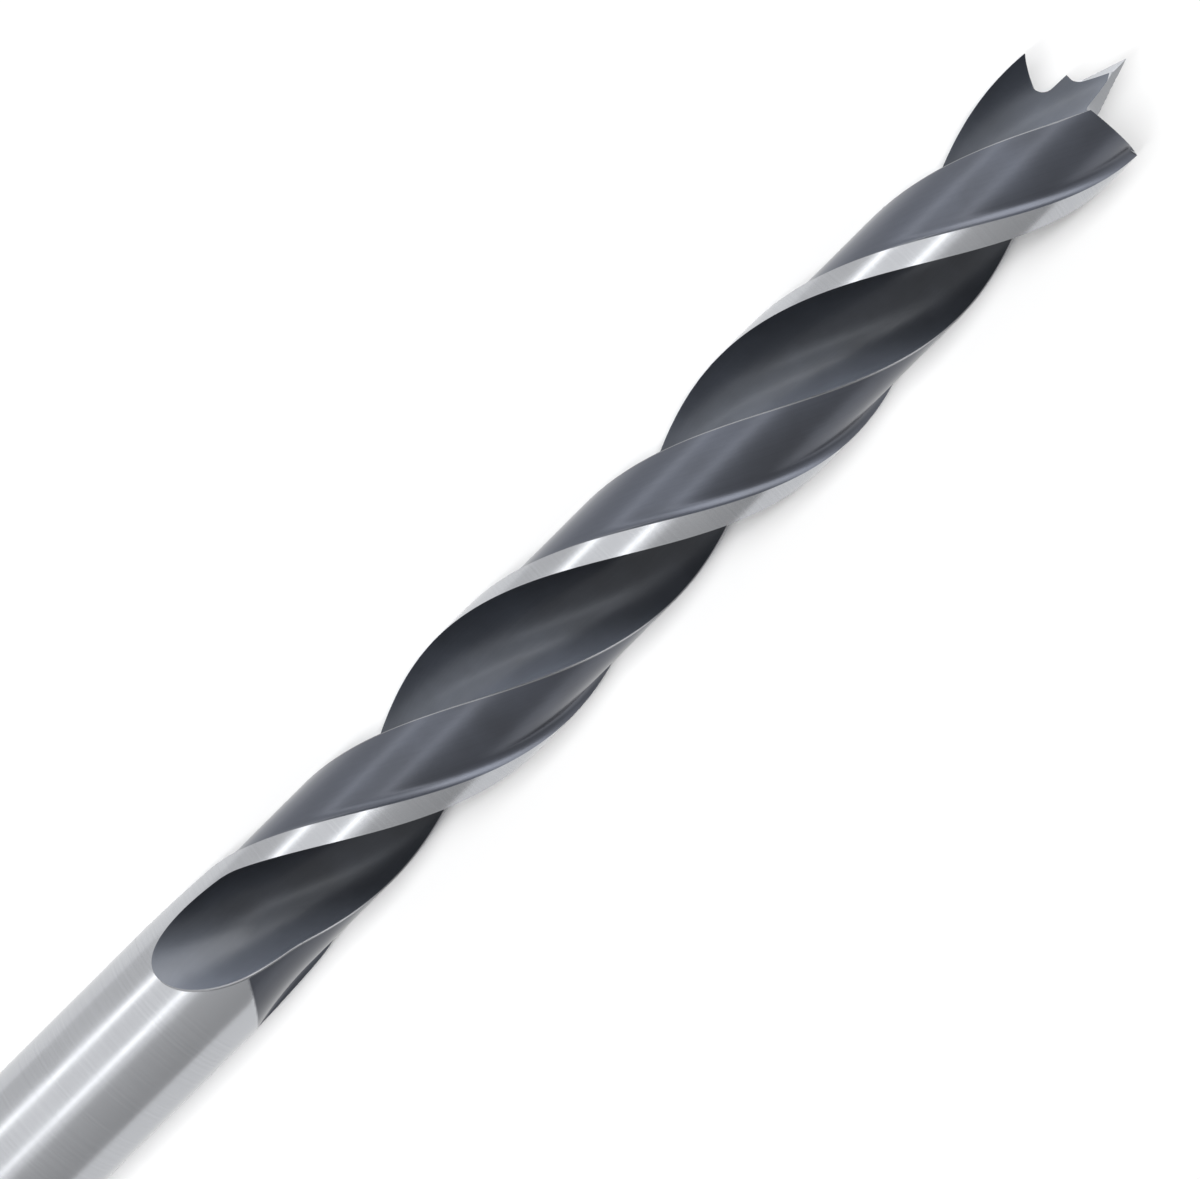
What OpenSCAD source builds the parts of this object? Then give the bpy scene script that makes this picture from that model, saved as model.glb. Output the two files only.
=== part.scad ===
// Brad point drill bit for wood: a plain round shank, two right-hand helical flutes, and a
// ground point with a centre brad, two outer spurs and a gullet between them.
// The axis is Z. The shank ends at Z = 0 and the two lips lie along X at the height of the spurs.

/* [Sizes] */
// Diameter that the bit cuts
bit_d = 10; // [8:0.5:12]
// Length from the end of the shank to the tip of the brad
total_len = 133; // [105:1:180]
// Length of the fluted part, from the end of the run-out to the tip of the brad
flute_len = 87; // [60:1:110]
// Diameter of the shank
shank_d = 10; // [6:0.5:13]
// Chamfer round the end of the shank
shank_chamfer = 0.6; // [0.2:0.1:1.5]

/* [Flutes] */
// Length along the axis of one full turn of the flutes
lead = 52.7; // [35:0.1:90]
// Radius of the round bottom of a flute
flute_r = 3.3; // [2.8:0.05:4]
// Thickness of the core that is left between the flutes
web = 0.84; // [0.7:0.02:1.8]
// Length over which a flute rises out of the bit
runout_len = 8.7; // [5:0.1:15]
// Angle that a flute still turns while it rises out
runout_turn = 25; // [0:1:60]

/* [Lands] */
// Width of the ground margin behind each leading edge
margin_w = 1.75; // [0.8:0.05:3]
// Depth of the body clearance behind the margin, and radius of its fillet
clearance = 0.65; // [0.2:0.05:1]
// Length over which the body clearance fades out
clearance_fade = 5.3; // [3:0.1:10]
// Distance from the end of the flutes to the end of the body clearance, at the margin
clearance_stop = 1.2; // [0.5:0.1:5]
// How much sooner the body clearance ends at the heel than at the margin
clearance_slant = 3; // [0:0.1:6]

/* [Point] */
// Angle of the four-sided brad, measured across its ridges
brad_angle = 38; // [30:1:46]
// Turn of the brad's ridges from the line of the lips
brad_turn = -15; // [-45:1:45]
// Diameter of the shoulder that carries the brad
shoulder_d = 4; // [3.6:0.1:5]
// Fillet between the brad and its shoulder
brad_fillet = 0.6; // [0.2:0.05:0.9]
// Drop from the tip of the brad to the shoulder on the near lip
near_shoulder_drop = 3.5; // [3:0.05:4]
// Drop from the tip of the brad to the shoulder on the far lip
far_shoulder_drop = 4.25; // [3.4:0.05:4.4]
// Drop from the tip of the brad to the spur on the near lip
near_spur_drop = 4.6; // [3.8:0.05:5.5]
// Drop from the tip of the brad to the spur on the far lip
far_spur_drop = 3.7; // [3.6:0.05:5.5]
// Depth of the gullet below its spur
gullet_depth = 0.95; // [0.8:0.05:2]
// Largest radius of the gullet's inner corner
gullet_r = 0.9; // [0.3:0.05:1.1]
// Relief angle of the ground end behind each lip
lip_relief = 10; // [4:1:16]

/* [Hidden] */

// Radii and angles of the section. Angles run back from the leading edge at 0, against the cut.
bit_r = bit_d / 2;
core_r = web / 2;
shoulder_r = shoulder_d / 2;
brad_half = brad_angle / 2;
flute_centre = core_r + flute_r;
margin_angle = arc_angle(margin_w, bit_r);
fillet_angle = arc_angle(clearance, bit_r - clearance / 2);
flute_mid = spread(bit_r, flute_centre);

// Heights along the axis
flute_end = total_len - flute_len;
runout_top = flute_end + runout_len;
lip_z = total_len - (near_spur_drop + far_spur_drop) / 2;
land_fall = tan(lip_relief) * (bit_r - core_r) * PI * (180 - 2 * flute_mid) / 180;
point_base = total_len - max(near_spur_drop, far_spur_drop) - gullet_depth - land_fall - 0.5;

// Depth of the last trace of a flute, where it meets the shank
last_cut = 0.05;
// Draft of the wall between the shoulder and the gullet
wall_draft = 0.06;
// Spigot of the fluted part inside the shank: its length, its inset, and the gap above the joint
spigot_len = 1;
spigot_inset = 0.4;
joint_gap = 0.02;

// Number of steps round the section and along the axis
margin_steps = 5;
fillet_steps = 3;
body_steps = 10;
flare_steps = 2;
gullet_steps = 2;
slope_steps = 3;
runout_steps = 13;
helix_steps = 44;
point_steps = 4;
edge_steps = margin_steps + fillet_steps + body_steps;
solve_steps = 8;

NEAR = 0;
FAR = 1;
shoulder_drop = [near_shoulder_drop, far_shoulder_drop];
spur_drop = [near_spur_drop, far_spur_drop];

function mix(a, b, t) = a + (b - a) * t;
function arc_angle(length, radius) = 180 / PI * length / radius;

// Half of the angle that a flute takes up at radius r, with its centre at distance c from the axis
function spread(r, c) = acos(min(1, (r * r + c * c - flute_r * flute_r) / (2 * r * c)));

// Turn of the section at height z
function turn(z) =
    z > runout_top ? 360 * (z - lip_z) / lead
    : 360 * (runout_top - lip_z) / lead - runout_turn * (runout_top - z) / runout_len;

// Distance from the axis to the centre of a flute at height z, which grows in the run-out
function centre_at(z) =
    flute_centre + (z > runout_top ? 0
        : (bit_r - core_r - last_cut) * pow((runout_top - z) / runout_len, 2));

// Share of the body clearance that is left at height z, s of the way from the margin to the heel
function clearance_left(z, s) =
    let (end = flute_end + clearance_stop + clearance_slant * s)
    z > end + clearance_fade ? 1
    : z < end ? 0
    : 1 - pow((end + clearance_fade - z) / clearance_fade, 2);

function heel_r(z) = bit_r - clearance * clearance_left(z, 1);

// Outer edge of a land at height z, step i back from the leading edge, as [radius, angle]
function edge_point(z, i) =
    let (c = centre_at(z), lead_angle = flute_mid - spread(bit_r, c),
         heel_angle = flute_mid - 180 + spread(heel_r(z), c))
    i <= margin_steps ? [bit_r, mix(lead_angle, -margin_angle, i / margin_steps)]
    : i <= margin_steps + fillet_steps ?
        let (a = 90 * (i - margin_steps) / fillet_steps)
        [bit_r - clearance * sin(a) * clearance_left(z, 0), -margin_angle - fillet_angle * (1 - cos(a))]
    : let (s = (i - margin_steps - fillet_steps) / body_steps)
        [bit_r - clearance * clearance_left(z, s), mix(-margin_angle - fillet_angle, heel_angle, s)];

// Flute wall at height z, q of the way from its bottom to its edge, as [radius, angle]
function face_point(z, q) =
    let (c = centre_at(z), r = mix(c - flute_r, bit_r, q)) [r, flute_mid - spread(r, c)];
function back_point(z, q) =
    let (c = centre_at(z), r = mix(c - flute_r, heel_r(z), q)) [r, flute_mid - 180 + spread(r, c)];

// Brad and shoulder of one lip as a revolved profile: drop below the tip at radius r
function brad_flare(lip) = min(brad_fillet,
    0.98 * (shoulder_r * cos(brad_half) - shoulder_drop[lip] * sin(brad_half)) / (1 - sin(brad_half)));
function flare_r(lip) =
    (brad_flare(lip) + (shoulder_drop[lip] - brad_flare(lip)) * sin(brad_half)) / cos(brad_half);
function brad_drop(lip, r) =
    let (f = brad_flare(lip), centre = flare_r(lip))
    r < centre - f * cos(brad_half) ? r / tan(brad_half)
    : r < centre ? shoulder_drop[lip] - f + sqrt(f * f - pow(centre - r, 2))
    : shoulder_drop[lip];

// Profile of one lip from the core to the spur, as [radius, drop] pairs
function lip_profile(lip) =
    let (f = brad_flare(lip), bottom = spur_drop[lip] + gullet_depth,
         g = min(gullet_r, bottom - shoulder_drop[lip] - 0.02), foot = shoulder_r + wall_draft + g)
    [
        [core_r, core_r / tan(brad_half)],
        for (i = [0:flare_steps]) let (a = mix(brad_half, 90, i / flare_steps), r = flare_r(lip) - f * cos(a))
            [r, brad_drop(lip, r)],
        [shoulder_r, shoulder_drop[lip]],
        for (i = [0:gullet_steps]) let (a = 90 * i / gullet_steps) [foot - g * cos(a), bottom - g * (1 - sin(a))],
        for (i = [1:slope_steps])
            [mix(foot, bit_r, i / slope_steps), mix(bottom, spur_drop[lip], i / slope_steps)]
    ];
LIPS = [lip_profile(NEAR), lip_profile(FAR)];
last_row = len(LIPS[NEAR]) - 1;
shoulder_row = flare_steps + 2;
function row_share(lip, row) = (LIPS[lip][row][0] - core_r) / (bit_r - core_r);

// Point of a land's ground end in the section, by its row outward and its step back from the lip
function land_point(lip, row, i) =
    let (z = lip_z, q = row_share(lip, row), edge = edge_point(z, i),
         face = face_point(z, q), back = back_point(z, q), whole = edge_point(z, edge_steps)[1])
    row == last_row ? edge
    : [mix(core_r, edge[0], q), mix(face[1], back[1], edge[1] / whole)];

// Height of the ground end there. The brad has flat sides, so its drop follows the turned angle.
function ground_z(lip, row, point, z = lip_z, n = solve_steps) =
    n == 0 ? z
    : let (a = point[1] + turn(z) - brad_turn,
           across = point[0] * (abs(cos(a)) + abs(sin(a))),
           drop = row <= shoulder_row ? brad_drop(lip, across) : LIPS[lip][row][1],
           behind = max(0, flute_mid - spread(point[0], flute_centre) - point[1]),
           fall = tan(lip_relief) * max(0, point[0] - core_r) * PI * behind / 180)
      ground_z(lip, row, point, total_len - drop - fall, n - 1);

// Section at height z as [radius, angle] pairs, clockwise from the near land's leading edge
function half_section(z, lip) = [
    for (i = [0:edge_steps]) edge_point(z, i),
    for (row = [last_row - 1:-1:0]) back_point(z, row_share(lip, row)),
    for (row = [1:last_row - 1]) face_point(z, row_share(1 - lip, row)) - [0, 180]
];
function section(z) = [
    for (lip = [NEAR, FAR]) for (p = half_section(z, lip)) [p[0], p[1] + 180 * (1 - lip)]
];

// Height of the ground end along the same outline
function half_rim(lip) = [
    for (i = [0:edge_steps]) ground_z(lip, last_row, edge_point(lip_z, i)),
    for (row = [last_row - 1:-1:0]) ground_z(lip, row, back_point(lip_z, row_share(lip, row))),
    for (row = [1:last_row - 1]) ground_z(1 - lip, row, face_point(lip_z, row_share(1 - lip, row)))
];
rim_z = concat(half_rim(NEAR), half_rim(FAR));
top_section = section(lip_z);
half_count = edge_steps + 2 * last_row;
count = 2 * half_count;

function place(point, z) = [point[0] * cos(point[1] + turn(z)), point[0] * sin(point[1] + turn(z)), z];

ring_z = concat(
    [for (k = [0:runout_steps]) runout_top - (runout_len - joint_gap) * (1 - pow(k / runout_steps, 2))],
    [for (k = [1:helix_steps]) mix(runout_top, point_base, k / helix_steps)]
);
ring_count = len(ring_z) + point_steps + 1;

// Rings of the fluted part: the spigot in the shank, the flutes, and the steps up to the ground end
spigot_scale = (min(bit_r, shank_d / 2) - spigot_inset) / bit_r;
ring_points = [
    for (p = section(ring_z[0])) place([p[0] * spigot_scale, p[1]], flute_end) - [0, 0, spigot_len],
    for (z = ring_z) for (p = section(z)) place(p, z),
    for (k = [1:point_steps]) for (i = [0:count - 1])
        place(top_section[i], mix(point_base, rim_z[i], k / point_steps))
];
inner_points = [
    for (lip = [NEAR, FAR]) for (row = [0:last_row - 1]) for (i = [1:edge_steps - 1])
        let (p = land_point(lip, row, i)) place(p + [0, 180 * (1 - lip)], ground_z(lip, row, p))
];
points = concat(ring_points, inner_points, [[0, 0, total_len]]);

// Place in the list of points of a ring's point, and of a point of the ground end
function ring_id(ring, i) = ring * count + i % count;
function end_id(lip, row, i) =
    let (rim = ring_count - 1, start = lip * half_count)
    row == last_row ? ring_id(rim, start + i)
    : i == edge_steps ? ring_id(rim, start + edge_steps + last_row - row)
    : i == 0 ? ring_id(rim, start + count - last_row + row)
    : len(ring_points) + (lip * last_row + row) * (edge_steps - 1) + i - 1;

faces = concat(
    [[for (i = [count - 1:-1:0]) ring_id(0, i)]],
    [for (ring = [0:ring_count - 2]) for (i = [0:count - 1]) each [
        [ring_id(ring, i), ring_id(ring, i + 1), ring_id(ring + 1, i + 1)],
        [ring_id(ring, i), ring_id(ring + 1, i + 1), ring_id(ring + 1, i)]
    ]],
    [for (lip = [NEAR, FAR]) for (row = [0:last_row - 1]) for (i = [0:edge_steps - 1]) each [
        [end_id(lip, row, i), end_id(lip, row + 1, i), end_id(lip, row + 1, i + 1)],
        [end_id(lip, row, i), end_id(lip, row + 1, i + 1), end_id(lip, row, i + 1)]
    ]],
    [for (lip = [NEAR, FAR]) for (i = [0:edge_steps - 1])
        [len(points) - 1, end_id(lip, 0, i), end_id(lip, 0, i + 1)]]
);

module shank() {
    rotate_extrude($fn = 96)
        polygon([
            [0, 0], [shank_d / 2 - shank_chamfer, 0], [shank_d / 2, shank_chamfer],
            [shank_d / 2, flute_end], [0, flute_end]
        ]);
}

module fluted_part() {
    polyhedron(points = points, faces = faces, convexity = 6);
}

module drill_bit() {
    union() {
        color("silver") shank();
        color("dimgray") fluted_part();
    }
}

drill_bit();
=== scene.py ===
"""Brad point drill bit, dressed for rendering and laid out as an add-on.

Each operator builds one piece of the bit, and one sets the stage. The shape follows the same sizes
and rules as the part's CAD source, with finer steps, a softer start of the run-out, and heels that
are rubbed to a thin band, whose light colour is partly a painted highlight.
"""

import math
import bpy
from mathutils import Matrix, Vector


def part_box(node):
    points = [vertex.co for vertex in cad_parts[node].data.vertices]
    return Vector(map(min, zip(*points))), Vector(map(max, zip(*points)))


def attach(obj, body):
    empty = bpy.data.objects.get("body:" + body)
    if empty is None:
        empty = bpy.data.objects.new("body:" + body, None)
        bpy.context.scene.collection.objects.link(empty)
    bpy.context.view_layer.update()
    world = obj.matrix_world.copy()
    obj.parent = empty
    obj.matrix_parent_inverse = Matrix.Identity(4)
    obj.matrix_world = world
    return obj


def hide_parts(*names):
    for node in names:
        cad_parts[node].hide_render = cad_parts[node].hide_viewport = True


bl_info = {
    "name": "Brad Point Drill Bit",
    "version": (1, 0, 0),
    "blender": (4, 5, 0),
    "location": "View3D > Sidebar > Drill Bit",
    "description": "Builds a brad point drill bit with ground and satin steel surfaces",
    "category": "Add Mesh",
}

import bmesh
import bpy
from bpy.props import FloatProperty, FloatVectorProperty, PointerProperty
from mathutils import Matrix, Vector

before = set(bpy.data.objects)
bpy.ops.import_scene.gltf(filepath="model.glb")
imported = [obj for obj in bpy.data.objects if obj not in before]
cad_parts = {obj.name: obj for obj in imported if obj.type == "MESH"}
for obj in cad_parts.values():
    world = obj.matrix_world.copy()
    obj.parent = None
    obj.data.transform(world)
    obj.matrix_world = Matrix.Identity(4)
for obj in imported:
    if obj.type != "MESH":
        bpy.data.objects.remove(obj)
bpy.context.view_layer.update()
BIT_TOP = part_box("drill_bit")[1]
MM = 0.001
WHITE = (1.0, 1.0, 1.0, 1.0)


def linear(hex_colour):
    """Linear colour with alpha 1 from an sRGB hex value such as 0xB8BABD."""
    channels = [(hex_colour >> shift & 255) / 255 for shift in (16, 8, 0)]
    return [c / 12.92 if c <= 0.04045 else ((c + 0.055) / 1.055) ** 2.4 for c in channels] + [1.0]


def length(name, description, millimetres):
    return FloatProperty(name=name, description=description, default=millimetres * MM, min=0.0, unit="LENGTH")


def angle(name, description, degrees):
    return FloatProperty(name=name, description=description, default=math.radians(degrees), unit="ROTATION")


def colour(name, description, hex_colour):
    return FloatVectorProperty(
        name=name, description=description, default=linear(hex_colour)[:3],
        subtype="COLOR", size=3, min=0.0, max=1.0,
    )


class DrillBitSizes(bpy.types.PropertyGroup):
    bit_diameter: length("Bit diameter", "Diameter that the bit cuts", BIT_TOP.x * 2 / MM)
    total_length: length("Total length", "From the end of the shank to the tip of the brad", BIT_TOP.z / MM)
    flute_length: length("Flute length", "From the end of the run-out to the tip of the brad", 87)
    shank_diameter: length("Shank diameter", "Diameter of the plain shank", 10)
    shank_chamfer: length("Shank chamfer", "Chamfer round the end of the shank", 0.6)
    lead: length("Lead", "Length along the axis of one full turn of the flutes", 52.7)
    flute_radius: length("Flute radius", "Radius of the round bottom of a flute", 3.3)
    web: length("Web", "Thickness of the core between the flutes", 0.84)
    runout_length: length("Run-out length", "Length over which a flute rises out of the bit", 8.7)
    runout_turn: angle("Run-out turn", "Angle that a flute still turns while it rises out", 25)
    margin_width: length("Margin width", "Ground margin behind each leading edge", 1.75)
    clearance: length("Clearance", "Depth of the body clearance behind the margin", 0.65)
    clearance_fade: length("Clearance fade", "Length over which the body clearance fades out", 5.3)
    clearance_stop: length("Clearance stop", "From the end of the flutes to the end of the clearance", 1.2)
    clearance_slant: length("Clearance slant", "How much sooner the clearance ends at the heel", 3)
    brad_angle: angle("Brad angle", "Angle of the four-sided brad across its ridges", 38)
    brad_turn: angle("Brad turn", "Turn of the brad's ridges from the line of the lips", -15)
    shoulder_diameter: length("Shoulder diameter", "Diameter of the shoulder that carries the brad", 4)
    brad_fillet: length("Brad fillet", "Fillet between the brad and its shoulder", 0.6)
    near_shoulder_drop: length("Near shoulder", "Drop from the brad's tip to the near lip's shoulder", 3.5)
    far_shoulder_drop: length("Far shoulder", "Drop from the brad's tip to the far lip's shoulder", 4.25)
    near_spur_drop: length("Near spur", "Drop from the brad's tip to the near spur", 4.6)
    far_spur_drop: length("Far spur", "Drop from the brad's tip to the far spur", 3.7)
    gullet_depth: length("Gullet depth", "Depth of the gullet below its spur", 0.95)
    gullet_radius: length("Gullet radius", "Largest radius of the gullet's inner corner", 0.9)
    lip_relief: angle("Lip relief", "Relief angle of the ground end behind each lip", 10)
    edge_break: length("Edge break", "Width of the worn band along a heel, and of its flat", 0.1)


class DrillBitColours(bpy.types.PropertyGroup):
    ground: colour("Ground steel", "Bright ground steel of the shank and margins", 0xC1C3C7)
    flute: colour("Flute steel", "Dark oxide-skinned steel inside the flutes", 0x4C5058)
    relieved: colour("Relieved steel", "Dark satin steel of the body clearance", 0x4F535D)
    # The heel's light colour is partly worn bare steel and partly a painted highlight along the edge
    heel: colour("Heel", "Worn band along the heel of each land", 0x8E8F92)
    lip: colour("Lip steel", "Freshly ground faces of the point", 0xA8AAAE)
    ground_surface: colour("Floor", "Pale floor and backdrop", 0xF6F6F6)


def own_fields(group):
    """Names of the fields that a property group defines itself."""
    return [name for name in group.bl_rna.properties.keys() if name not in ("rna_type", "name")]


def flat_point(r, degrees):
    """Point of the flat section at a radius and an angle."""
    return Vector((r * math.cos(math.radians(degrees)), r * math.sin(math.radians(degrees))))


class Grind:
    """Shape of the fluted part in millimetres, with angles in degrees back from the leading edge."""

    # Steps along the outer edge of a land, along the profile of a lip, and to find a height on the brad
    margin_steps, fillet_steps, body_steps = 10, 6, 24
    brad_steps, flare_steps, gullet_steps, slope_steps = 7, 6, 7, 7
    solve_steps = 8
    near, far = 0, 1
    # Share of the run-out over which the turn of the flutes slows down
    ease = 0.2
    # Points that a worn heel adds to the section, and the most that it takes of the step beside it
    worn_points = 2
    worn_share = 0.4
    # Draft of the wall between the shoulder and the gullet, and the least height of that wall
    wall_draft = 0.06
    least_wall = 0.02
    # Most of the room beside the brad that its fillet takes up
    fillet_share = 0.98
    # Length of full section that is left under the deepest ground face
    under_point = 0.5

    def __init__(self, sizes):
        for name in own_fields(sizes):
            value = getattr(sizes, name)
            is_angle = sizes.bl_rna.properties[name].unit == "ROTATION"
            setattr(self, name, math.degrees(value) if is_angle else value / MM)
        self.bit_r = self.bit_diameter / 2
        self.core_r = self.web / 2
        self.shoulder_r = self.shoulder_diameter / 2
        self.brad_half = math.radians(self.brad_angle / 2)
        self.flute_centre = self.core_r + self.flute_radius
        self.margin_angle = math.degrees(self.margin_width / self.bit_r)
        self.fillet_angle = math.degrees(self.clearance / (self.bit_r - self.clearance / 2))
        self.flute_mid = self.spread(self.bit_r, self.flute_centre)
        self.flute_end = self.total_length - self.flute_length
        self.runout_top = self.flute_end + self.runout_length
        self.lip_z = self.total_length - (self.near_spur_drop + self.far_spur_drop) / 2
        land_fall = (math.tan(math.radians(self.lip_relief)) * (self.bit_r - self.core_r)
                     * math.radians(180 - 2 * self.flute_mid))
        self.point_base = (self.total_length - max(self.near_spur_drop, self.far_spur_drop)
                           - self.gullet_depth - land_fall - self.under_point)
        self.edge_steps = self.margin_steps + self.fillet_steps + self.body_steps
        self.shoulder_row = self.brad_steps + self.flare_steps + 1
        self.shoulder_drop = (self.near_shoulder_drop, self.far_shoulder_drop)
        self.spur_drop = (self.near_spur_drop, self.far_spur_drop)
        self.lips = [self.lip_profile(lip) for lip in (self.near, self.far)]
        self.last_row = len(self.lips[0]) - 1
        self.half_count = self.edge_steps + 2 * self.last_row
        self.ring_half = self.half_count + self.worn_points

    def spread(self, r, centre):
        """Half of the angle that a flute takes up at radius r, with its centre at that distance."""
        cosine = (r * r + centre * centre - self.flute_radius ** 2) / (2 * r * centre)
        return math.degrees(math.acos(max(-1.0, min(1.0, cosine))))

    def turn(self, z):
        """Turn of the section at height z. It slows softly where the flutes rise out."""
        if z > self.runout_top:
            return 360 * (z - self.lip_z) / self.lead
        rest = (self.runout_top - z) / self.runout_length
        fast = 360 * self.runout_length / self.lead
        slow = (self.runout_turn - fast * self.ease / 2) / (1 - self.ease / 2)
        eased = min(rest, self.ease)
        turned = slow * rest + (fast - slow) * eased * (1 - eased / (2 * self.ease))
        return 360 * (self.runout_top - self.lip_z) / self.lead - turned

    def centre_at(self, z):
        """Distance from the axis to the centre of a flute at height z, which grows in the run-out."""
        if z > self.runout_top:
            return self.flute_centre
        rest = (self.runout_top - z) / self.runout_length
        return self.flute_centre + (self.bit_r - self.core_r) * rest * rest

    def clearance_left(self, z, s):
        """Share of the clearance left at height z, s of the way from the margin to the heel."""
        end = self.flute_end + self.clearance_stop + self.clearance_slant * s
        if z > end + self.clearance_fade:
            return 1.0
        if z < end:
            return 0.0
        return 1 - ((end + self.clearance_fade - z) / self.clearance_fade) ** 2

    def heel_r(self, z):
        """Radius of the heel of a land at height z."""
        return self.bit_r - self.clearance * self.clearance_left(z, 1)

    def edge_point(self, z, i):
        """Outer edge of a land, step i back from its leading edge, as radius and angle."""
        centre = self.centre_at(z)
        lead_angle = self.flute_mid - self.spread(self.bit_r, centre)
        if i <= self.margin_steps:
            return self.bit_r, lead_angle + (-self.margin_angle - lead_angle) * i / self.margin_steps
        start = -self.margin_angle - self.fillet_angle
        if i <= self.margin_steps + self.fillet_steps:
            a = math.pi / 2 * (i - self.margin_steps) / self.fillet_steps
            return (self.bit_r - self.clearance * math.sin(a) * self.clearance_left(z, 0),
                    -self.margin_angle - self.fillet_angle * (1 - math.cos(a)))
        s = (i - self.margin_steps - self.fillet_steps) / self.body_steps
        heel_angle = self.flute_mid - 180 + self.spread(self.heel_r(z), centre)
        return self.bit_r - self.clearance * self.clearance_left(z, s), start + (heel_angle - start) * s

    def face_point(self, z, q):
        """Flute wall under the leading edge, q of the way from its bottom to its edge."""
        centre = self.centre_at(z)
        bottom = centre - self.flute_radius
        r = bottom + (self.bit_r - bottom) * q
        return r, self.flute_mid - self.spread(r, centre)

    def back_point(self, z, q):
        """Flute wall under the heel, q of the way from its bottom to its edge."""
        centre = self.centre_at(z)
        bottom = centre - self.flute_radius
        r = bottom + (self.heel_r(z) - bottom) * q
        return r, self.flute_mid - 180 + self.spread(r, centre)

    def flare(self, lip):
        """Fillet radius between the brad and its shoulder, and the radius where that fillet ends."""
        sine, cosine = math.sin(self.brad_half), math.cos(self.brad_half)
        drop = self.shoulder_drop[lip]
        room = (self.shoulder_r * cosine - drop * sine) / (1 - sine)
        fillet = min(self.brad_fillet, self.fillet_share * room)
        return fillet, (fillet + (drop - fillet) * sine) / cosine

    def brad_drop(self, lip, r):
        """Drop below the tip of the brad, its flare and its shoulder at radius r."""
        drop = self.shoulder_drop[lip]
        flare, centre = self.flare(lip)
        if r < centre - flare * math.cos(self.brad_half):
            return r / math.tan(self.brad_half)
        if r < centre:
            return drop - flare + math.sqrt(flare ** 2 - (centre - r) ** 2)
        return drop

    def lip_profile(self, lip):
        """Profile of one lip from the core to the spur, as radius and drop pairs."""
        drop = self.shoulder_drop[lip]
        flare, flare_r = self.flare(lip)
        start = flare_r - flare * math.cos(self.brad_half)
        rows = [self.core_r + (start - self.core_r) * k / self.brad_steps for k in range(self.brad_steps)]
        for k in range(self.flare_steps + 1):
            a = self.brad_half + (math.pi / 2 - self.brad_half) * k / self.flare_steps
            rows.append(flare_r - flare * math.cos(a))
        rows.append(self.shoulder_r)
        profile = [(r, self.brad_drop(lip, r)) for r in rows]
        bottom = self.spur_drop[lip] + self.gullet_depth
        gullet = min(self.gullet_radius, bottom - drop - self.least_wall)
        foot = self.shoulder_r + self.wall_draft + gullet
        for k in range(self.gullet_steps + 1):
            a = math.pi / 2 * k / self.gullet_steps
            profile.append((foot - gullet * math.cos(a), bottom - gullet * (1 - math.sin(a))))
        for k in range(1, self.slope_steps + 1):
            q = k / self.slope_steps
            profile.append((foot + (self.bit_r - foot) * q, bottom + (self.spur_drop[lip] - bottom) * q))
        return profile

    def row_share(self, lip, row):
        """How far out a row of a lip lies, from 0 at the core to 1 at the outside."""
        return (self.lips[lip][row][0] - self.core_r) / (self.bit_r - self.core_r)

    def land_point(self, lip, row, i):
        """Point inside a land's ground end, by its row outward and its step back from the lip."""
        edge = self.edge_point(self.lip_z, i)
        q = self.row_share(lip, row)
        face, back = self.face_point(self.lip_z, q)[1], self.back_point(self.lip_z, q)[1]
        whole = self.edge_point(self.lip_z, self.edge_steps)[1]
        return self.core_r + (edge[0] - self.core_r) * q, face + (back - face) * edge[1] / whole

    def ground_z(self, lip, row, point):
        """Height of the ground end there. The brad is flat-sided, so its drop follows the turned angle."""
        r, back_angle = point
        behind = max(0.0, self.flute_mid - self.spread(r, self.flute_centre) - back_angle)
        fall = math.tan(math.radians(self.lip_relief)) * max(0.0, r - self.core_r) * math.radians(behind)
        if row > self.shoulder_row:
            return self.total_length - self.lips[lip][row][1] - fall
        z = self.lip_z
        for _ in range(self.solve_steps):
            a = math.radians(back_angle + self.turn(z) - self.brad_turn)
            across = r * (abs(math.cos(a)) + abs(math.sin(a)))
            z = self.total_length - self.brad_drop(lip, across) - fall
        return z

    def half_section(self, z, lip):
        """One land's outer edge, the wall under its heel, and the wall up to the other leading edge."""
        other = 1 - lip
        points = [self.edge_point(z, i) for i in range(self.edge_steps + 1)]
        points += [self.back_point(z, self.row_share(lip, row)) for row in range(self.last_row - 1, -1, -1)]
        for row in range(1, self.last_row):
            r, back_angle = self.face_point(z, self.row_share(other, row))
            points.append((r, back_angle - 180))
        return points

    def worn(self, corner, beside, breaks, edge_break):
        """Point that lies some edge breaks from a heel's corner, on the way to the point beside it."""
        share = breaks * edge_break / max((beside - corner).length, 1e-6)
        return corner + (beside - corner) * min(breaks * self.worn_share, share)

    def section(self, z, edge_break):
        """Section at height z, from the near land's leading edge.

        Each heel is worn to a band on the land and a flat beside the flute's wall.
        """
        points = [flat_point(r, a + 180) for r, a in self.half_section(z, self.near)]
        points += [flat_point(r, a) for r, a in self.half_section(z, self.far)]
        for heel in (self.half_count + self.edge_steps, self.edge_steps):
            corner, land, wall = (points[heel + k] for k in (0, -1, 1))
            points[heel:heel + 1] = [self.worn(corner, beside, breaks, edge_break)
                                     for beside, breaks in ((land, 2), (land, 1), (wall, 1))]
        return points

    def rim(self):
        """Height of the ground end along the same outline."""
        heights = []
        for lip in (self.near, self.far):
            other = 1 - lip
            for i in [*range(self.edge_steps + 1)] + [self.edge_steps] * self.worn_points:
                heights.append(self.ground_z(lip, self.last_row, self.edge_point(self.lip_z, i)))
            for row in range(self.last_row - 1, -1, -1):
                point = self.back_point(self.lip_z, self.row_share(lip, row))
                heights.append(self.ground_z(lip, row, point))
            for row in range(1, self.last_row):
                point = self.face_point(self.lip_z, self.row_share(other, row))
                heights.append(self.ground_z(other, row, point))
        return heights

    def place(self, point, z):
        """Turns a point of the flat section to its place at height z, in metres."""
        return (Matrix.Rotation(math.radians(self.turn(z)), 3, "Z") @ point.to_3d() + Vector((0, 0, z))) * MM


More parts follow.
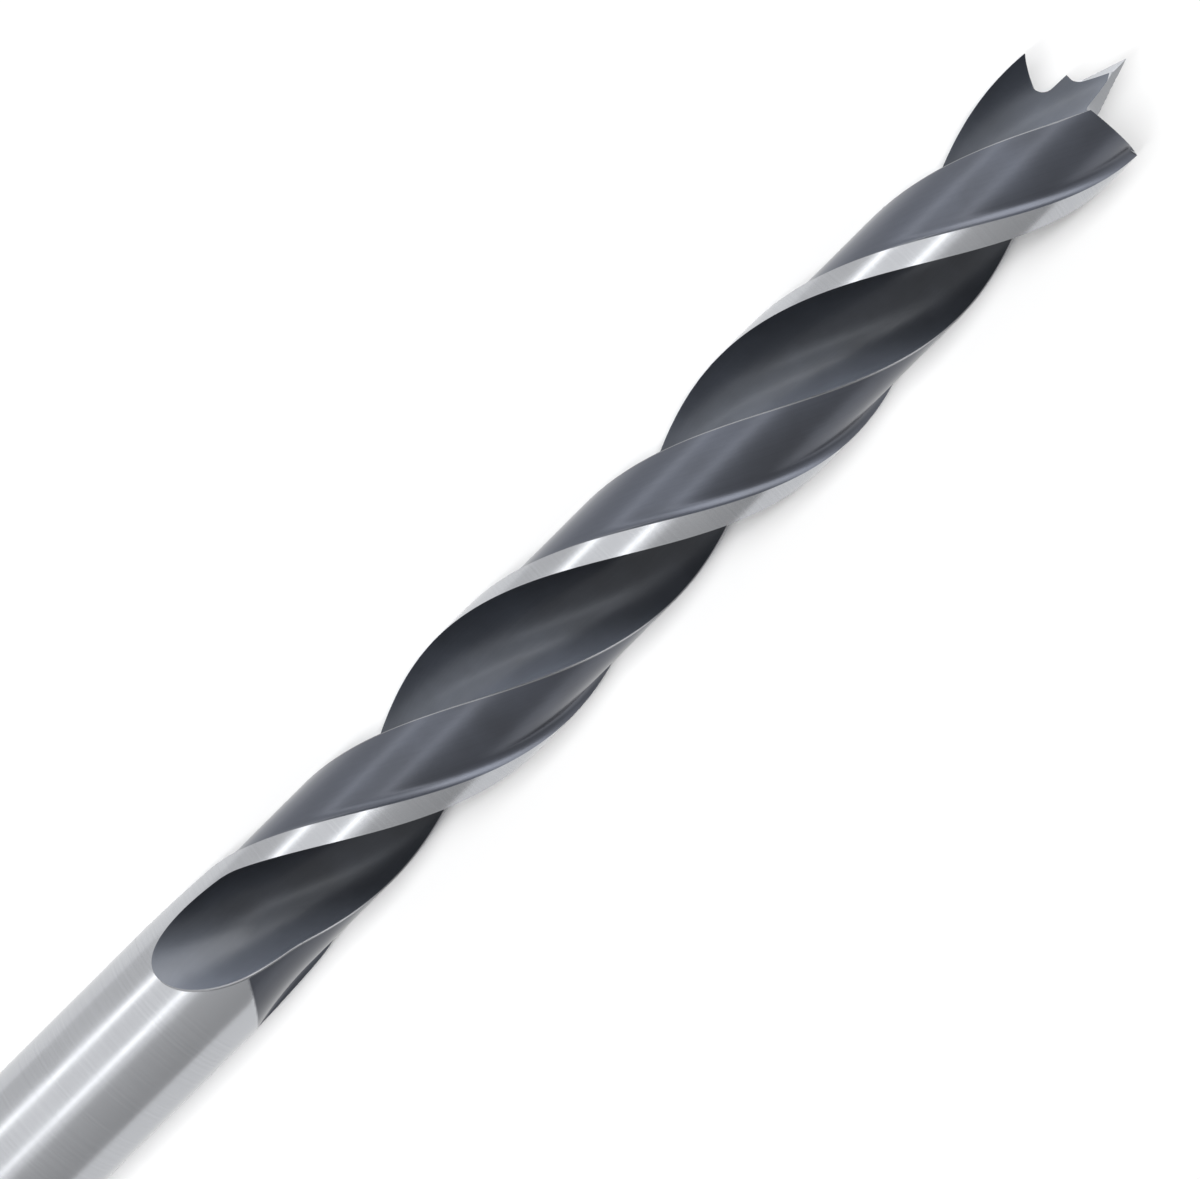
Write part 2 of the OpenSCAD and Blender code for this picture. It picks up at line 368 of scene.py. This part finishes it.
def node(tree, kind, inputs=None, **settings):
    """Adds one node, sets its fields, and sets or links its inputs."""
    made = tree.nodes.new(kind)
    for name, value in settings.items():
        setattr(made, name, value)
    for name, value in (inputs or {}).items():
        if isinstance(value, bpy.types.NodeSocket):
            tree.links.new(value, made.inputs[name])
        else:
            made.inputs[name].default_value = value
    return made


def blank_material(name):
    material = bpy.data.materials.new(name)
    material.use_nodes = True
    material.node_tree.nodes.clear()
    return material, material.node_tree


# Noise cells to the metre along a grinding line, which keeps its look for about 33 mm
LINE_CELLS = 0.03 / MM
# Size of the soft patches
PATCH_SIZE = 5 * MM
# Share of the full clearance from which a land has the relieved surface
RELIEVED_FROM = 0.06
GROUND_ROUGHNESS = 0.23


def steel(name, base, roughness, lines_mm, lines_depth_mm, spread=0.04, clouds=0.02, along="RING",
          bare=(1.0, 1.0), film=0.0, fades_to=None):
    """Steel whose fine lines run round the axis (RING) or along the flutes (FLUTE).

    lines_mm and lines_depth_mm are the spacing and depth of the lines, spread how much they change
    the colour and how far the roughness wanders, and clouds how much the soft patches change the
    colour. bare is the lowest and highest share of bare metal where a skin of oxide covers it in
    those patches. film is the weight of the thin clear film of rust oil on top. fades_to is the
    colour and roughness where the body clearance has faded out. What was done to each steel is said
    by its own function.
    """
    material, tree = blank_material(name)
    place = node(tree, "ShaderNodeTexCoord").outputs["Object"]
    if along == "RING":
        lined, scale = place, (LINE_CELLS, LINE_CELLS, 1 / (lines_mm * MM))
    else:
        lined = node(tree, "ShaderNodeAttribute", attribute_name="unrolled").outputs["Vector"]
        scale = (1 / (lines_mm * MM), LINE_CELLS, 0.0)
    lined = node(tree, "ShaderNodeVectorMath", {0: lined, 1: scale}, operation="MULTIPLY").outputs["Vector"]
    lines = node(tree, "ShaderNodeTexNoise", {
        "Vector": lined, "Scale": 1.0, "Detail": 3.0, "Roughness": 0.6}).outputs["Fac"]
    patches = node(tree, "ShaderNodeTexNoise", {
        "Vector": place, "Scale": 1 / PATCH_SIZE, "Detail": 4.0}).outputs["Fac"]

    def ranged(value, low, high, first=0.25, last=0.75):
        """Brings a value softly into a new range. The old one is where noise mostly lies."""
        return node(tree, "ShaderNodeMapRange", {"Value": value, "From Min": first, "From Max": last,
                                                 "To Min": low, "To Max": high},
                    interpolation_type="SMOOTHSTEP").outputs["Result"]

    cloud = ranged(patches, 1 - clouds, 1 + clouds)
    shade = node(tree, "ShaderNodeMath", {0: ranged(lines, 1 - spread, 1 + spread), 1: cloud},
                 operation="MULTIPLY").outputs["Value"]
    rough = ranged(patches, roughness - spread, roughness + spread)
    metallic = ranged(patches, *bare)
    strength = 1.0
    if fades_to:
        left = node(tree, "ShaderNodeAttribute", attribute_name="clearance_left").outputs["Fac"]
        cut = ranged(left, 0.0, 1.0, 0.0, RELIEVED_FROM)
        # A Mix node has its two colours in sockets 6 and 7, and gives the mixed one in output 2
        base = node(tree, "ShaderNodeMix", {0: cut, 6: fades_to[0] + (1.0,), 7: base + (1.0,)},
                    data_type="RGBA").outputs[2]
        shade, rough, metallic, film = (
            ranged(cut, ground, cleared, 0.0, 1.0)
            for ground, cleared in ((1.0, shade), (fades_to[1], rough), (1.0, metallic), (0.0, film)))
        strength = cut
    tint = node(tree, "ShaderNodeVectorMath", {0: base, "Scale": shade}, operation="SCALE").outputs["Vector"]
    bump = node(tree, "ShaderNodeBump", {"Height": lines, "Distance": lines_depth_mm * MM,
                                         "Strength": strength}).outputs["Normal"]
    shader = node(tree, "ShaderNodeBsdfPrincipled", {
        "Base Color": tint, "Metallic": metallic, "Roughness": rough, "Normal": bump,
        "Coat Weight": film, "Coat Roughness": 0.3})
    node(tree, "ShaderNodeOutputMaterial", {"Surface": shader.outputs["BSDF"]})
    return material


def ground_steel(colours):
    """Hardened tool steel, centreless ground: bright, with very fine lines round the shank."""
    return steel("ground_steel", tuple(colours.ground), GROUND_ROUGHNESS, 0.16, 0.0003, spread=0.03)


def oxide_skinned_flute_steel(colours):
    """Flutes left dark by the heat treatment: a matt skin of oxide, rubbed thin in soft patches."""
    return steel("oxide_skinned_flute_steel", tuple(colours.flute), 0.31, 0.14, 0.0018, spread=0.03,
                 clouds=0.22, along="FLUTE", bare=(0.05, 0.25))


def relieved_steel(colours):
    """Body clearance behind the margin: satin and oiled, and bright where it has faded out."""
    return steel("relieved_steel", tuple(colours.relieved), 0.34, 0.2, 0.001, clouds=0.2, along="FLUTE",
                 bare=(0.75, 0.95), film=0.7, fades_to=(tuple(colours.ground), GROUND_ROUGHNESS))


def lip_ground_steel(colours):
    """Faces of the point, ground last with a finer wheel: pale and even, with short cross lines."""
    return steel("lip_ground_steel", tuple(colours.lip), 0.33, 0.1, 0.002)


def worn_heel_and_painted_highlight_steel(colours):
    """Heel rubbed by the chips so that its dark skin is gone, and made lighter still as a painted highlight,
    so that it shows as a thin light line all along.
    """
    return steel("worn_heel_and_painted_highlight_steel", tuple(colours.heel), 0.45, 0.3, 0.001)


def mesh_from(built, name):
    """Mesh with the shape of a finished bmesh, which is freed."""
    mesh = bpy.data.meshes.new(name)
    built.to_mesh(mesh)
    built.free()
    return mesh


# Edges that bend more than this stay sharp
SHARP_DEGREES = 28


def finish_piece(built, name, materials):
    """Makes a finished bmesh into a piece that rides with the bit."""
    mesh = mesh_from(built, name)
    for material in materials:
        mesh.materials.append(material)
    mesh.shade_smooth()
    mesh.set_sharp_from_angle(angle=math.radians(SHARP_DEGREES))
    piece = bpy.data.objects.new(name, mesh)
    bpy.context.collection.objects.link(piece)
    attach(piece, "root")
    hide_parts("drill_bit")


class DRILLBIT_OT_shank(bpy.types.Operator):
    """Turn the plain shank with its chamfered end"""

    bl_idname = "drillbit.shank"
    bl_label = "Shank"

    segments, length_steps = 192, 24
    # How far the edges of the chamfer are eased on either side, and how deep, in millimetres
    soft, soft_depth = 0.08, 0.024

    def execute(self, context):
        grind = Grind(context.scene.drill_bit_sizes)
        r, chamfer = grind.shank_diameter / 2, grind.shank_chamfer
        soft, depth = self.soft, self.soft_depth
        profile = [(r - chamfer - soft, 0), (r - chamfer + depth, depth),
                   (r - depth, chamfer - depth), (r, chamfer + soft)]
        profile += [(r, chamfer + soft + (grind.flute_end - chamfer - soft) * k / self.length_steps)
                    for k in range(1, self.length_steps + 1)]
        built = bmesh.new()
        rings = []
        for radius, z in profile:
            rings.append([
                built.verts.new(Vector((radius * math.cos(a), radius * math.sin(a), z)) * MM)
                for a in (2 * math.pi * k / self.segments for k in range(self.segments))
            ])
        centre = built.verts.new((0, 0, 0))
        for k in range(self.segments):
            after = (k + 1) % self.segments
            built.faces.new((centre, rings[0][after], rings[0][k]))
            for low, high in zip(rings, rings[1:]):
                built.faces.new((low[k], low[after], high[after], high[k]))
        finish_piece(built, "shank", [ground_steel(context.scene.drill_bit_colours)])
        return {"FINISHED"}


class DRILLBIT_OT_cutting_part(bpy.types.Operator):
    """Grind the two flutes, the margins, the body clearance and the brad point"""

    bl_idname = "drillbit.cutting_part"
    bl_label = "Cutting part"

    runout_steps, helix_steps, point_steps = 56, 250, 16
    # Points nearer to each other than this, in millimetres, are made one
    weld = 1e-4
    # Zones of the surface, in the order of their steels
    MARGIN, RELIEVED, FLUTE, LIP, HEEL = range(5)

    def execute(self, context):
        grind = Grind(context.scene.drill_bit_sizes)
        colours = context.scene.drill_bit_colours
        built = bmesh.new()
        rings = self.add_rings(built, grind)
        self.add_skin(built, grind, rings)
        apex = built.verts.new(Vector((0, 0, grind.total_length)) * MM)
        for lip in (grind.near, grind.far):
            self.add_ground_end(built, grind, lip, rings[-1], apex)
        bmesh.ops.remove_doubles(built, verts=built.verts, dist=self.weld * MM)
        bmesh.ops.recalc_face_normals(built, faces=built.faces)
        # The heel's steel is lighter than the steels beside it, partly as a painted highlight
        finish_piece(built, "cutting_part", [
            ground_steel(colours), relieved_steel(colours), oxide_skinned_flute_steel(colours),
            lip_ground_steel(colours), worn_heel_and_painted_highlight_steel(colours),
        ])
        return {"FINISHED"}

    def add_rings(self, built, grind):
        """Rings of points round the bit, from the end of the run-out up to the ground end.

        Each point carries its place on the unrolled surface and the share of clearance left there,
        which the steels of the flutes and the body clearance read.
        """
        unrolled = built.verts.layers.float_vector.new("unrolled")
        clearance = built.verts.layers.float.new("clearance_left")

        def add_ring(points, zs):
            ring, along, before = [], 0.0, None
            for i, (point, z) in enumerate(zip(points, zs)):
                along += (point - before).length if before else 0.0
                before = point
                vert = built.verts.new(grind.place(point, z))
                vert[unrolled] = Vector((along, z, 0)) * MM
                step = i % grind.ring_half - grind.margin_steps - grind.fillet_steps
                vert[clearance] = grind.clearance_left(z, min(1.0, max(0.0, step / grind.body_steps)))
                ring.append(vert)
            return ring

        heights = [grind.runout_top - grind.runout_length * (1 - (k / self.runout_steps) ** 2)
                   for k in range(self.runout_steps + 1)]
        heights += [grind.runout_top + (grind.point_base - grind.runout_top) * k / self.helix_steps
                    for k in range(1, self.helix_steps + 1)]
        rim = grind.rim()
        rings = [add_ring(grind.section(z, grind.edge_break), [z] * len(rim)) for z in heights]
        for k in range(1, self.point_steps + 1):
            q = k / self.point_steps
            zs = [grind.point_base + (z - grind.point_base) * q for z in rim]
            rings.append(add_ring(grind.section(grind.lip_z, grind.edge_break * (1 - q)), zs))
        return rings

    def add_skin(self, built, grind, rings):
        """Faces between the rings, each with the steel of its zone."""
        zones = 2 * (
            [self.MARGIN] * grind.margin_steps
            + [self.RELIEVED] * (grind.edge_steps - grind.margin_steps)
            + [self.HEEL] * grind.worn_points
            + [self.FLUTE] * (grind.ring_half - grind.edge_steps - grind.worn_points)
        )
        for low, high in zip(rings, rings[1:]):
            for i, zone in enumerate(zones):
                after = (i + 1) % len(zones)
                face = built.faces.new((low[i], high[i], high[after], low[after]))
                face.material_index = zone

    def add_ground_end(self, built, grind, lip, rim, apex):
        """Faces of one lip's ground end, in rows from the apex out to the rim.

        The rows start on the flute wall before the lip, which for the near lip is the end of the rim.
        """
        start = lip * grind.ring_half
        heel = start + grind.edge_steps + grind.worn_points
        grid = []
        for row in range(grind.last_row):
            line = [rim[start - grind.last_row + row]]
            for i in range(1, grind.edge_steps):
                point = grind.land_point(lip, row, i)
                flat = flat_point(point[0], point[1] + 180 * (1 - lip))
                line.append(built.verts.new(grind.place(flat, grind.ground_z(lip, row, point))))
            line.append(rim[heel + grind.last_row - row])
            grid.append(line)
        grid.append(rim[start:start + grind.edge_steps + 1])
        faces = [(inner[i], inner[i + 1], outer[i + 1], outer[i])
                 for inner, outer in zip(grid, grid[1:]) for i in range(grind.edge_steps)]
        faces += [(apex, grid[0][i + 1], grid[0][i]) for i in range(grind.edge_steps)]
        for corners in faces:
            built.faces.new(corners).material_index = self.LIP


# Directions of the picture: the side that faces the viewer, and the side on the right of the axis
FACING = Vector((-0.2571, -0.9664, 0.0))
RIGHT = Vector((0.9664, -0.2571, 0.0))
UP = Vector((0.0, 0.0, 1.0))


def around(degrees, distance, height):
    """A place at an angle round the axis from the viewer, towards the right."""
    a = math.radians(degrees)
    return (FACING * math.cos(a) + RIGHT * math.sin(a)) * distance + UP * height


class DRILLBIT_OT_stage(bpy.types.Operator):
    """Set the camera, the lamps, the pale floor and the backdrop that the bit lies on"""

    bl_idname = "drillbit.stage"
    bl_label = "Stage"

    # Height that the lamps aim at, and half of the side of the floor and the backdrop, in metres
    lit_height = 0.09
    sheet_half = 0.4
    # The curved cards' distance from the axis and their lowest and highest edge, in metres
    card_distance, card_edges, card_steps = 0.45, (-0.35, 0.55), 16

    def execute(self, context):
        pieces = [piece for piece in context.scene.objects if piece.type == "MESH"]
        self.camera(context)
        sheets = self.floor_and_backdrop(context)
        self.lamps(context, pieces, sheets)
        # Each card with its first and last angle round the bit, and its brightness at either
        for card in (
            ("grey_card", 12, 86, 0.58, 0.42),
            ("pale_card", -106, -62, 0.74, 0.74),
            ("far_card", 88, 172, 0.93, 0.86),
        ):
            self.reflector(context, *card)
        self.world(context)
        context.scene.view_settings.view_transform = "Standard"
        return {"FINISHED"}

    def camera(self, context):
        """The picture is taken from near the tip's end, and turned so that the bit lies at 45 degrees."""
        data = bpy.data.cameras.new("camera")
        data.sensor_width, data.lens = 36.0, 97.83
        data.clip_start, data.clip_end = 0.01, 10.0
        camera = bpy.data.objects.new("camera", data)
        place = (FACING * 215 + UP * 92) * MM
        aim = (RIGHT * 0.353 + UP * 84.057) * MM
        back = (place - aim).normalized()
        upright = (UP - back * UP.dot(back)).normalized()
        side = upright.cross(back)
        roll = math.radians(-45.158)
        up = upright * math.cos(roll) + side * math.sin(roll)
        across = up.cross(back)
        camera.matrix_world = Matrix.Translation(place) @ Matrix((across, up, back)).transposed().to_4x4()
        context.collection.objects.link(camera)
        context.scene.camera = camera

    def lamps(self, context, pieces, sheets):
        """Boxes that light the bit and draw the streaks on its metal, and lamps for the paper only.

        Each has its angle round the bit and its elevation, its distance, width and height, and its
        brightness, where 1 is white. The metal mirrors only those that are seen, and the world elsewhere.
        """
        on_bit, on_paper = self.light_group("lit_bit", pieces), self.light_group("lit_paper", sheets)
        middle = UP * self.lit_height
        for name, degrees, elevation, distance, width, tall, brightness, lit, seen in (
            ("streak_box", -52, 0, 0.5, 0.06, 0.9, 1.75, on_bit, True),
            ("streak_strip", -4, 0, 0.6, 0.07, 0.5, 1.9, on_bit, True),
            ("top_box", -66, 52, 0.5, 1.0, 0.4, 2.0, on_bit, True),
            ("side_fill", -80, 22, 0.5, 0.8, 0.9, 4.8, on_bit, False),
            ("window_lamp", -8.5, 0, 0.6, 0.137, 0.7, 5.8, on_paper, False),
            ("front_lamp", 0, 0, 0.6, 0.04, 0.7, 24.5, on_paper, False),
            ("floor_lamp", 180, 65, 0.6, 0.6, 0.6, 3.6, on_paper, False),
        ):
            data = bpy.data.lights.new(name, "AREA")
            data.shape, data.size, data.size_y = "RECTANGLE", width, tall
            data.energy = brightness * math.pi * width * tall
            lamp = bpy.data.objects.new(name, data)
            rise = math.radians(elevation)
            lamp.location = around(degrees, distance * math.cos(rise), middle.z + distance * math.sin(rise))
            lamp.rotation_euler = (middle - lamp.location).to_track_quat("-Z", "Y").to_euler()
            lamp.visible_camera = False
            lamp.visible_glossy = seen
            lamp.light_linking.receiver_collection = lit
            context.collection.objects.link(lamp)

    def light_group(self, name, things):
        """Collection of the only things that a lamp lights."""
        group = bpy.data.collections.new(name)
        for thing in things:
            group.objects.link(thing)
        return group

    def world(self, context):
        """White for what the camera and the metal see, and weak as soft light from all round."""
        world = bpy.data.worlds.new("studio")
        context.scene.world = world
        world.use_nodes = True
        tree = world.node_tree
        tree.nodes.clear()
        path = node(tree, "ShaderNodeLightPath")
        seen = path.outputs["Is Camera Ray"]
        for ray in ("Is Glossy Ray", "Is Transmission Ray"):
            seen = node(tree, "ShaderNodeMath", {0: seen, 1: path.outputs[ray]},
                        operation="MAXIMUM").outputs["Value"]
        strength = node(tree, "ShaderNodeMapRange", {"Value": seen, "To Min": 0.25, "To Max": 1.0})
        background = node(tree, "ShaderNodeBackground", {"Color": WHITE,
                                                         "Strength": strength.outputs["Result"]})
        node(tree, "ShaderNodeOutputWorld", {"Surface": background.outputs["Background"]})

    def paper(self, name, colours):
        """Matt white card with a fine grain, seen from its front only, so that it never hides the bit."""
        material, tree = blank_material(name)
        grain = node(tree, "ShaderNodeTexNoise", {
            "Vector": node(tree, "ShaderNodeTexCoord").outputs["Object"], "Scale": 1 / (1.5 * MM)})
        bump = node(tree, "ShaderNodeBump", {"Height": grain.outputs["Fac"], "Distance": 0.01 * MM})
        card = node(tree, "ShaderNodeBsdfDiffuse", {"Color": tuple(colours.ground_surface) + (1.0,),
                                                    "Normal": bump.outputs["Normal"]})
        clear = node(tree, "ShaderNodeBsdfTransparent")
        side = node(tree, "ShaderNodeNewGeometry").outputs["Backfacing"]
        mixed = node(tree, "ShaderNodeMixShader", {"Fac": side, 1: card.outputs["BSDF"],
                                                   2: clear.outputs["BSDF"]})
        node(tree, "ShaderNodeOutputMaterial", {"Surface": mixed.outputs["Shader"]})
        return material

    def put_up(self, context, name, built, material):
        """Makes a finished bmesh into a thing of the stage."""
        mesh = mesh_from(built, name)
        mesh.materials.append(material)
        thing = bpy.data.objects.new(name, mesh)
        context.collection.objects.link(thing)
        return thing

    def sheet(self, context, name, corners, material):
        """Flat sheet that only the camera sees."""
        built = bmesh.new()
        built.faces.new([built.verts.new(corner) for corner in corners])
        sheet = self.put_up(context, name, built, material)
        sheet.visible_diffuse = sheet.visible_glossy = False
        sheet.visible_transmission = sheet.visible_shadow = False
        return sheet

    def floor_and_backdrop(self, context):
        """The floor at Z = 0, and the upright sheet that touches the bit's back, as if it lay on it."""
        colours = context.scene.drill_bit_colours
        half = self.sheet_half
        corners = ((-half, -half), (half, -half), (half, half), (-half, half))
        behind = FACING * (-context.scene.drill_bit_sizes.bit_diameter / 2)
        floor = self.sheet(context, "floor", [(x, y, 0) for x, y in corners],
                           self.paper("floor_card", colours))
        backdrop = self.sheet(context, "backdrop", [behind + RIGHT * x + UP * y for x, y in corners],
                              self.paper("backdrop_card", colours))
        return floor, backdrop

    def reflector(self, context, name, first, last, level_first, level_last):
        """Tall curved card out of the camera's sight, whose reflection draws a band on the metal."""
        material, tree = blank_material(name)
        level = node(tree, "ShaderNodeAttribute", attribute_name="level").outputs["Fac"]
        lit = node(tree, "ShaderNodeEmission", {"Color": WHITE, "Strength": level})
        node(tree, "ShaderNodeOutputMaterial", {"Surface": lit.outputs["Emission"]})
        built = bmesh.new()
        levels = built.verts.layers.float.new("level")
        columns = []
        for k in range(self.card_steps + 1):
            q = k / self.card_steps
            degrees = first + (last - first) * q
            column = [built.verts.new(around(degrees, self.card_distance, z)) for z in self.card_edges]
            for vert in column:
                vert[levels] = level_first + (level_last - level_first) * q
            columns.append(column)
        for (low, high), (next_low, next_high) in zip(columns, columns[1:]):
            built.faces.new((low, next_low, next_high, high))
        card = self.put_up(context, name, built, material)
        card.visible_camera = card.visible_diffuse = card.visible_shadow = False


class DRILLBIT_PT_panel(bpy.types.Panel):
    bl_idname = "DRILLBIT_PT_panel"
    bl_label = "Brad Point Drill Bit"
    bl_space_type = "VIEW_3D"
    bl_region_type = "UI"
    bl_category = "Drill Bit"

    def draw(self, context):
        for group in (context.scene.drill_bit_sizes, context.scene.drill_bit_colours):
            box = self.layout.box()
            for name in own_fields(group):
                box.prop(group, name)
        for operator in OPERATORS:
            self.layout.operator(operator.bl_idname)


OPERATORS = (DRILLBIT_OT_shank, DRILLBIT_OT_cutting_part, DRILLBIT_OT_stage)
CLASSES = (DrillBitSizes, DrillBitColours) + OPERATORS + (DRILLBIT_PT_panel,)


def register():
    for cls in CLASSES:
        bpy.utils.register_class(cls)
    bpy.types.Scene.drill_bit_sizes = PointerProperty(type=DrillBitSizes)
    bpy.types.Scene.drill_bit_colours = PointerProperty(type=DrillBitColours)


def unregister():
    del bpy.types.Scene.drill_bit_colours
    del bpy.types.Scene.drill_bit_sizes
    for cls in reversed(CLASSES):
        bpy.utils.unregister_class(cls)


def main():
    register()
    bpy.ops.drillbit.shank()
    bpy.ops.drillbit.cutting_part()
    bpy.ops.drillbit.stage()


if __name__ == "__main__":
    main()
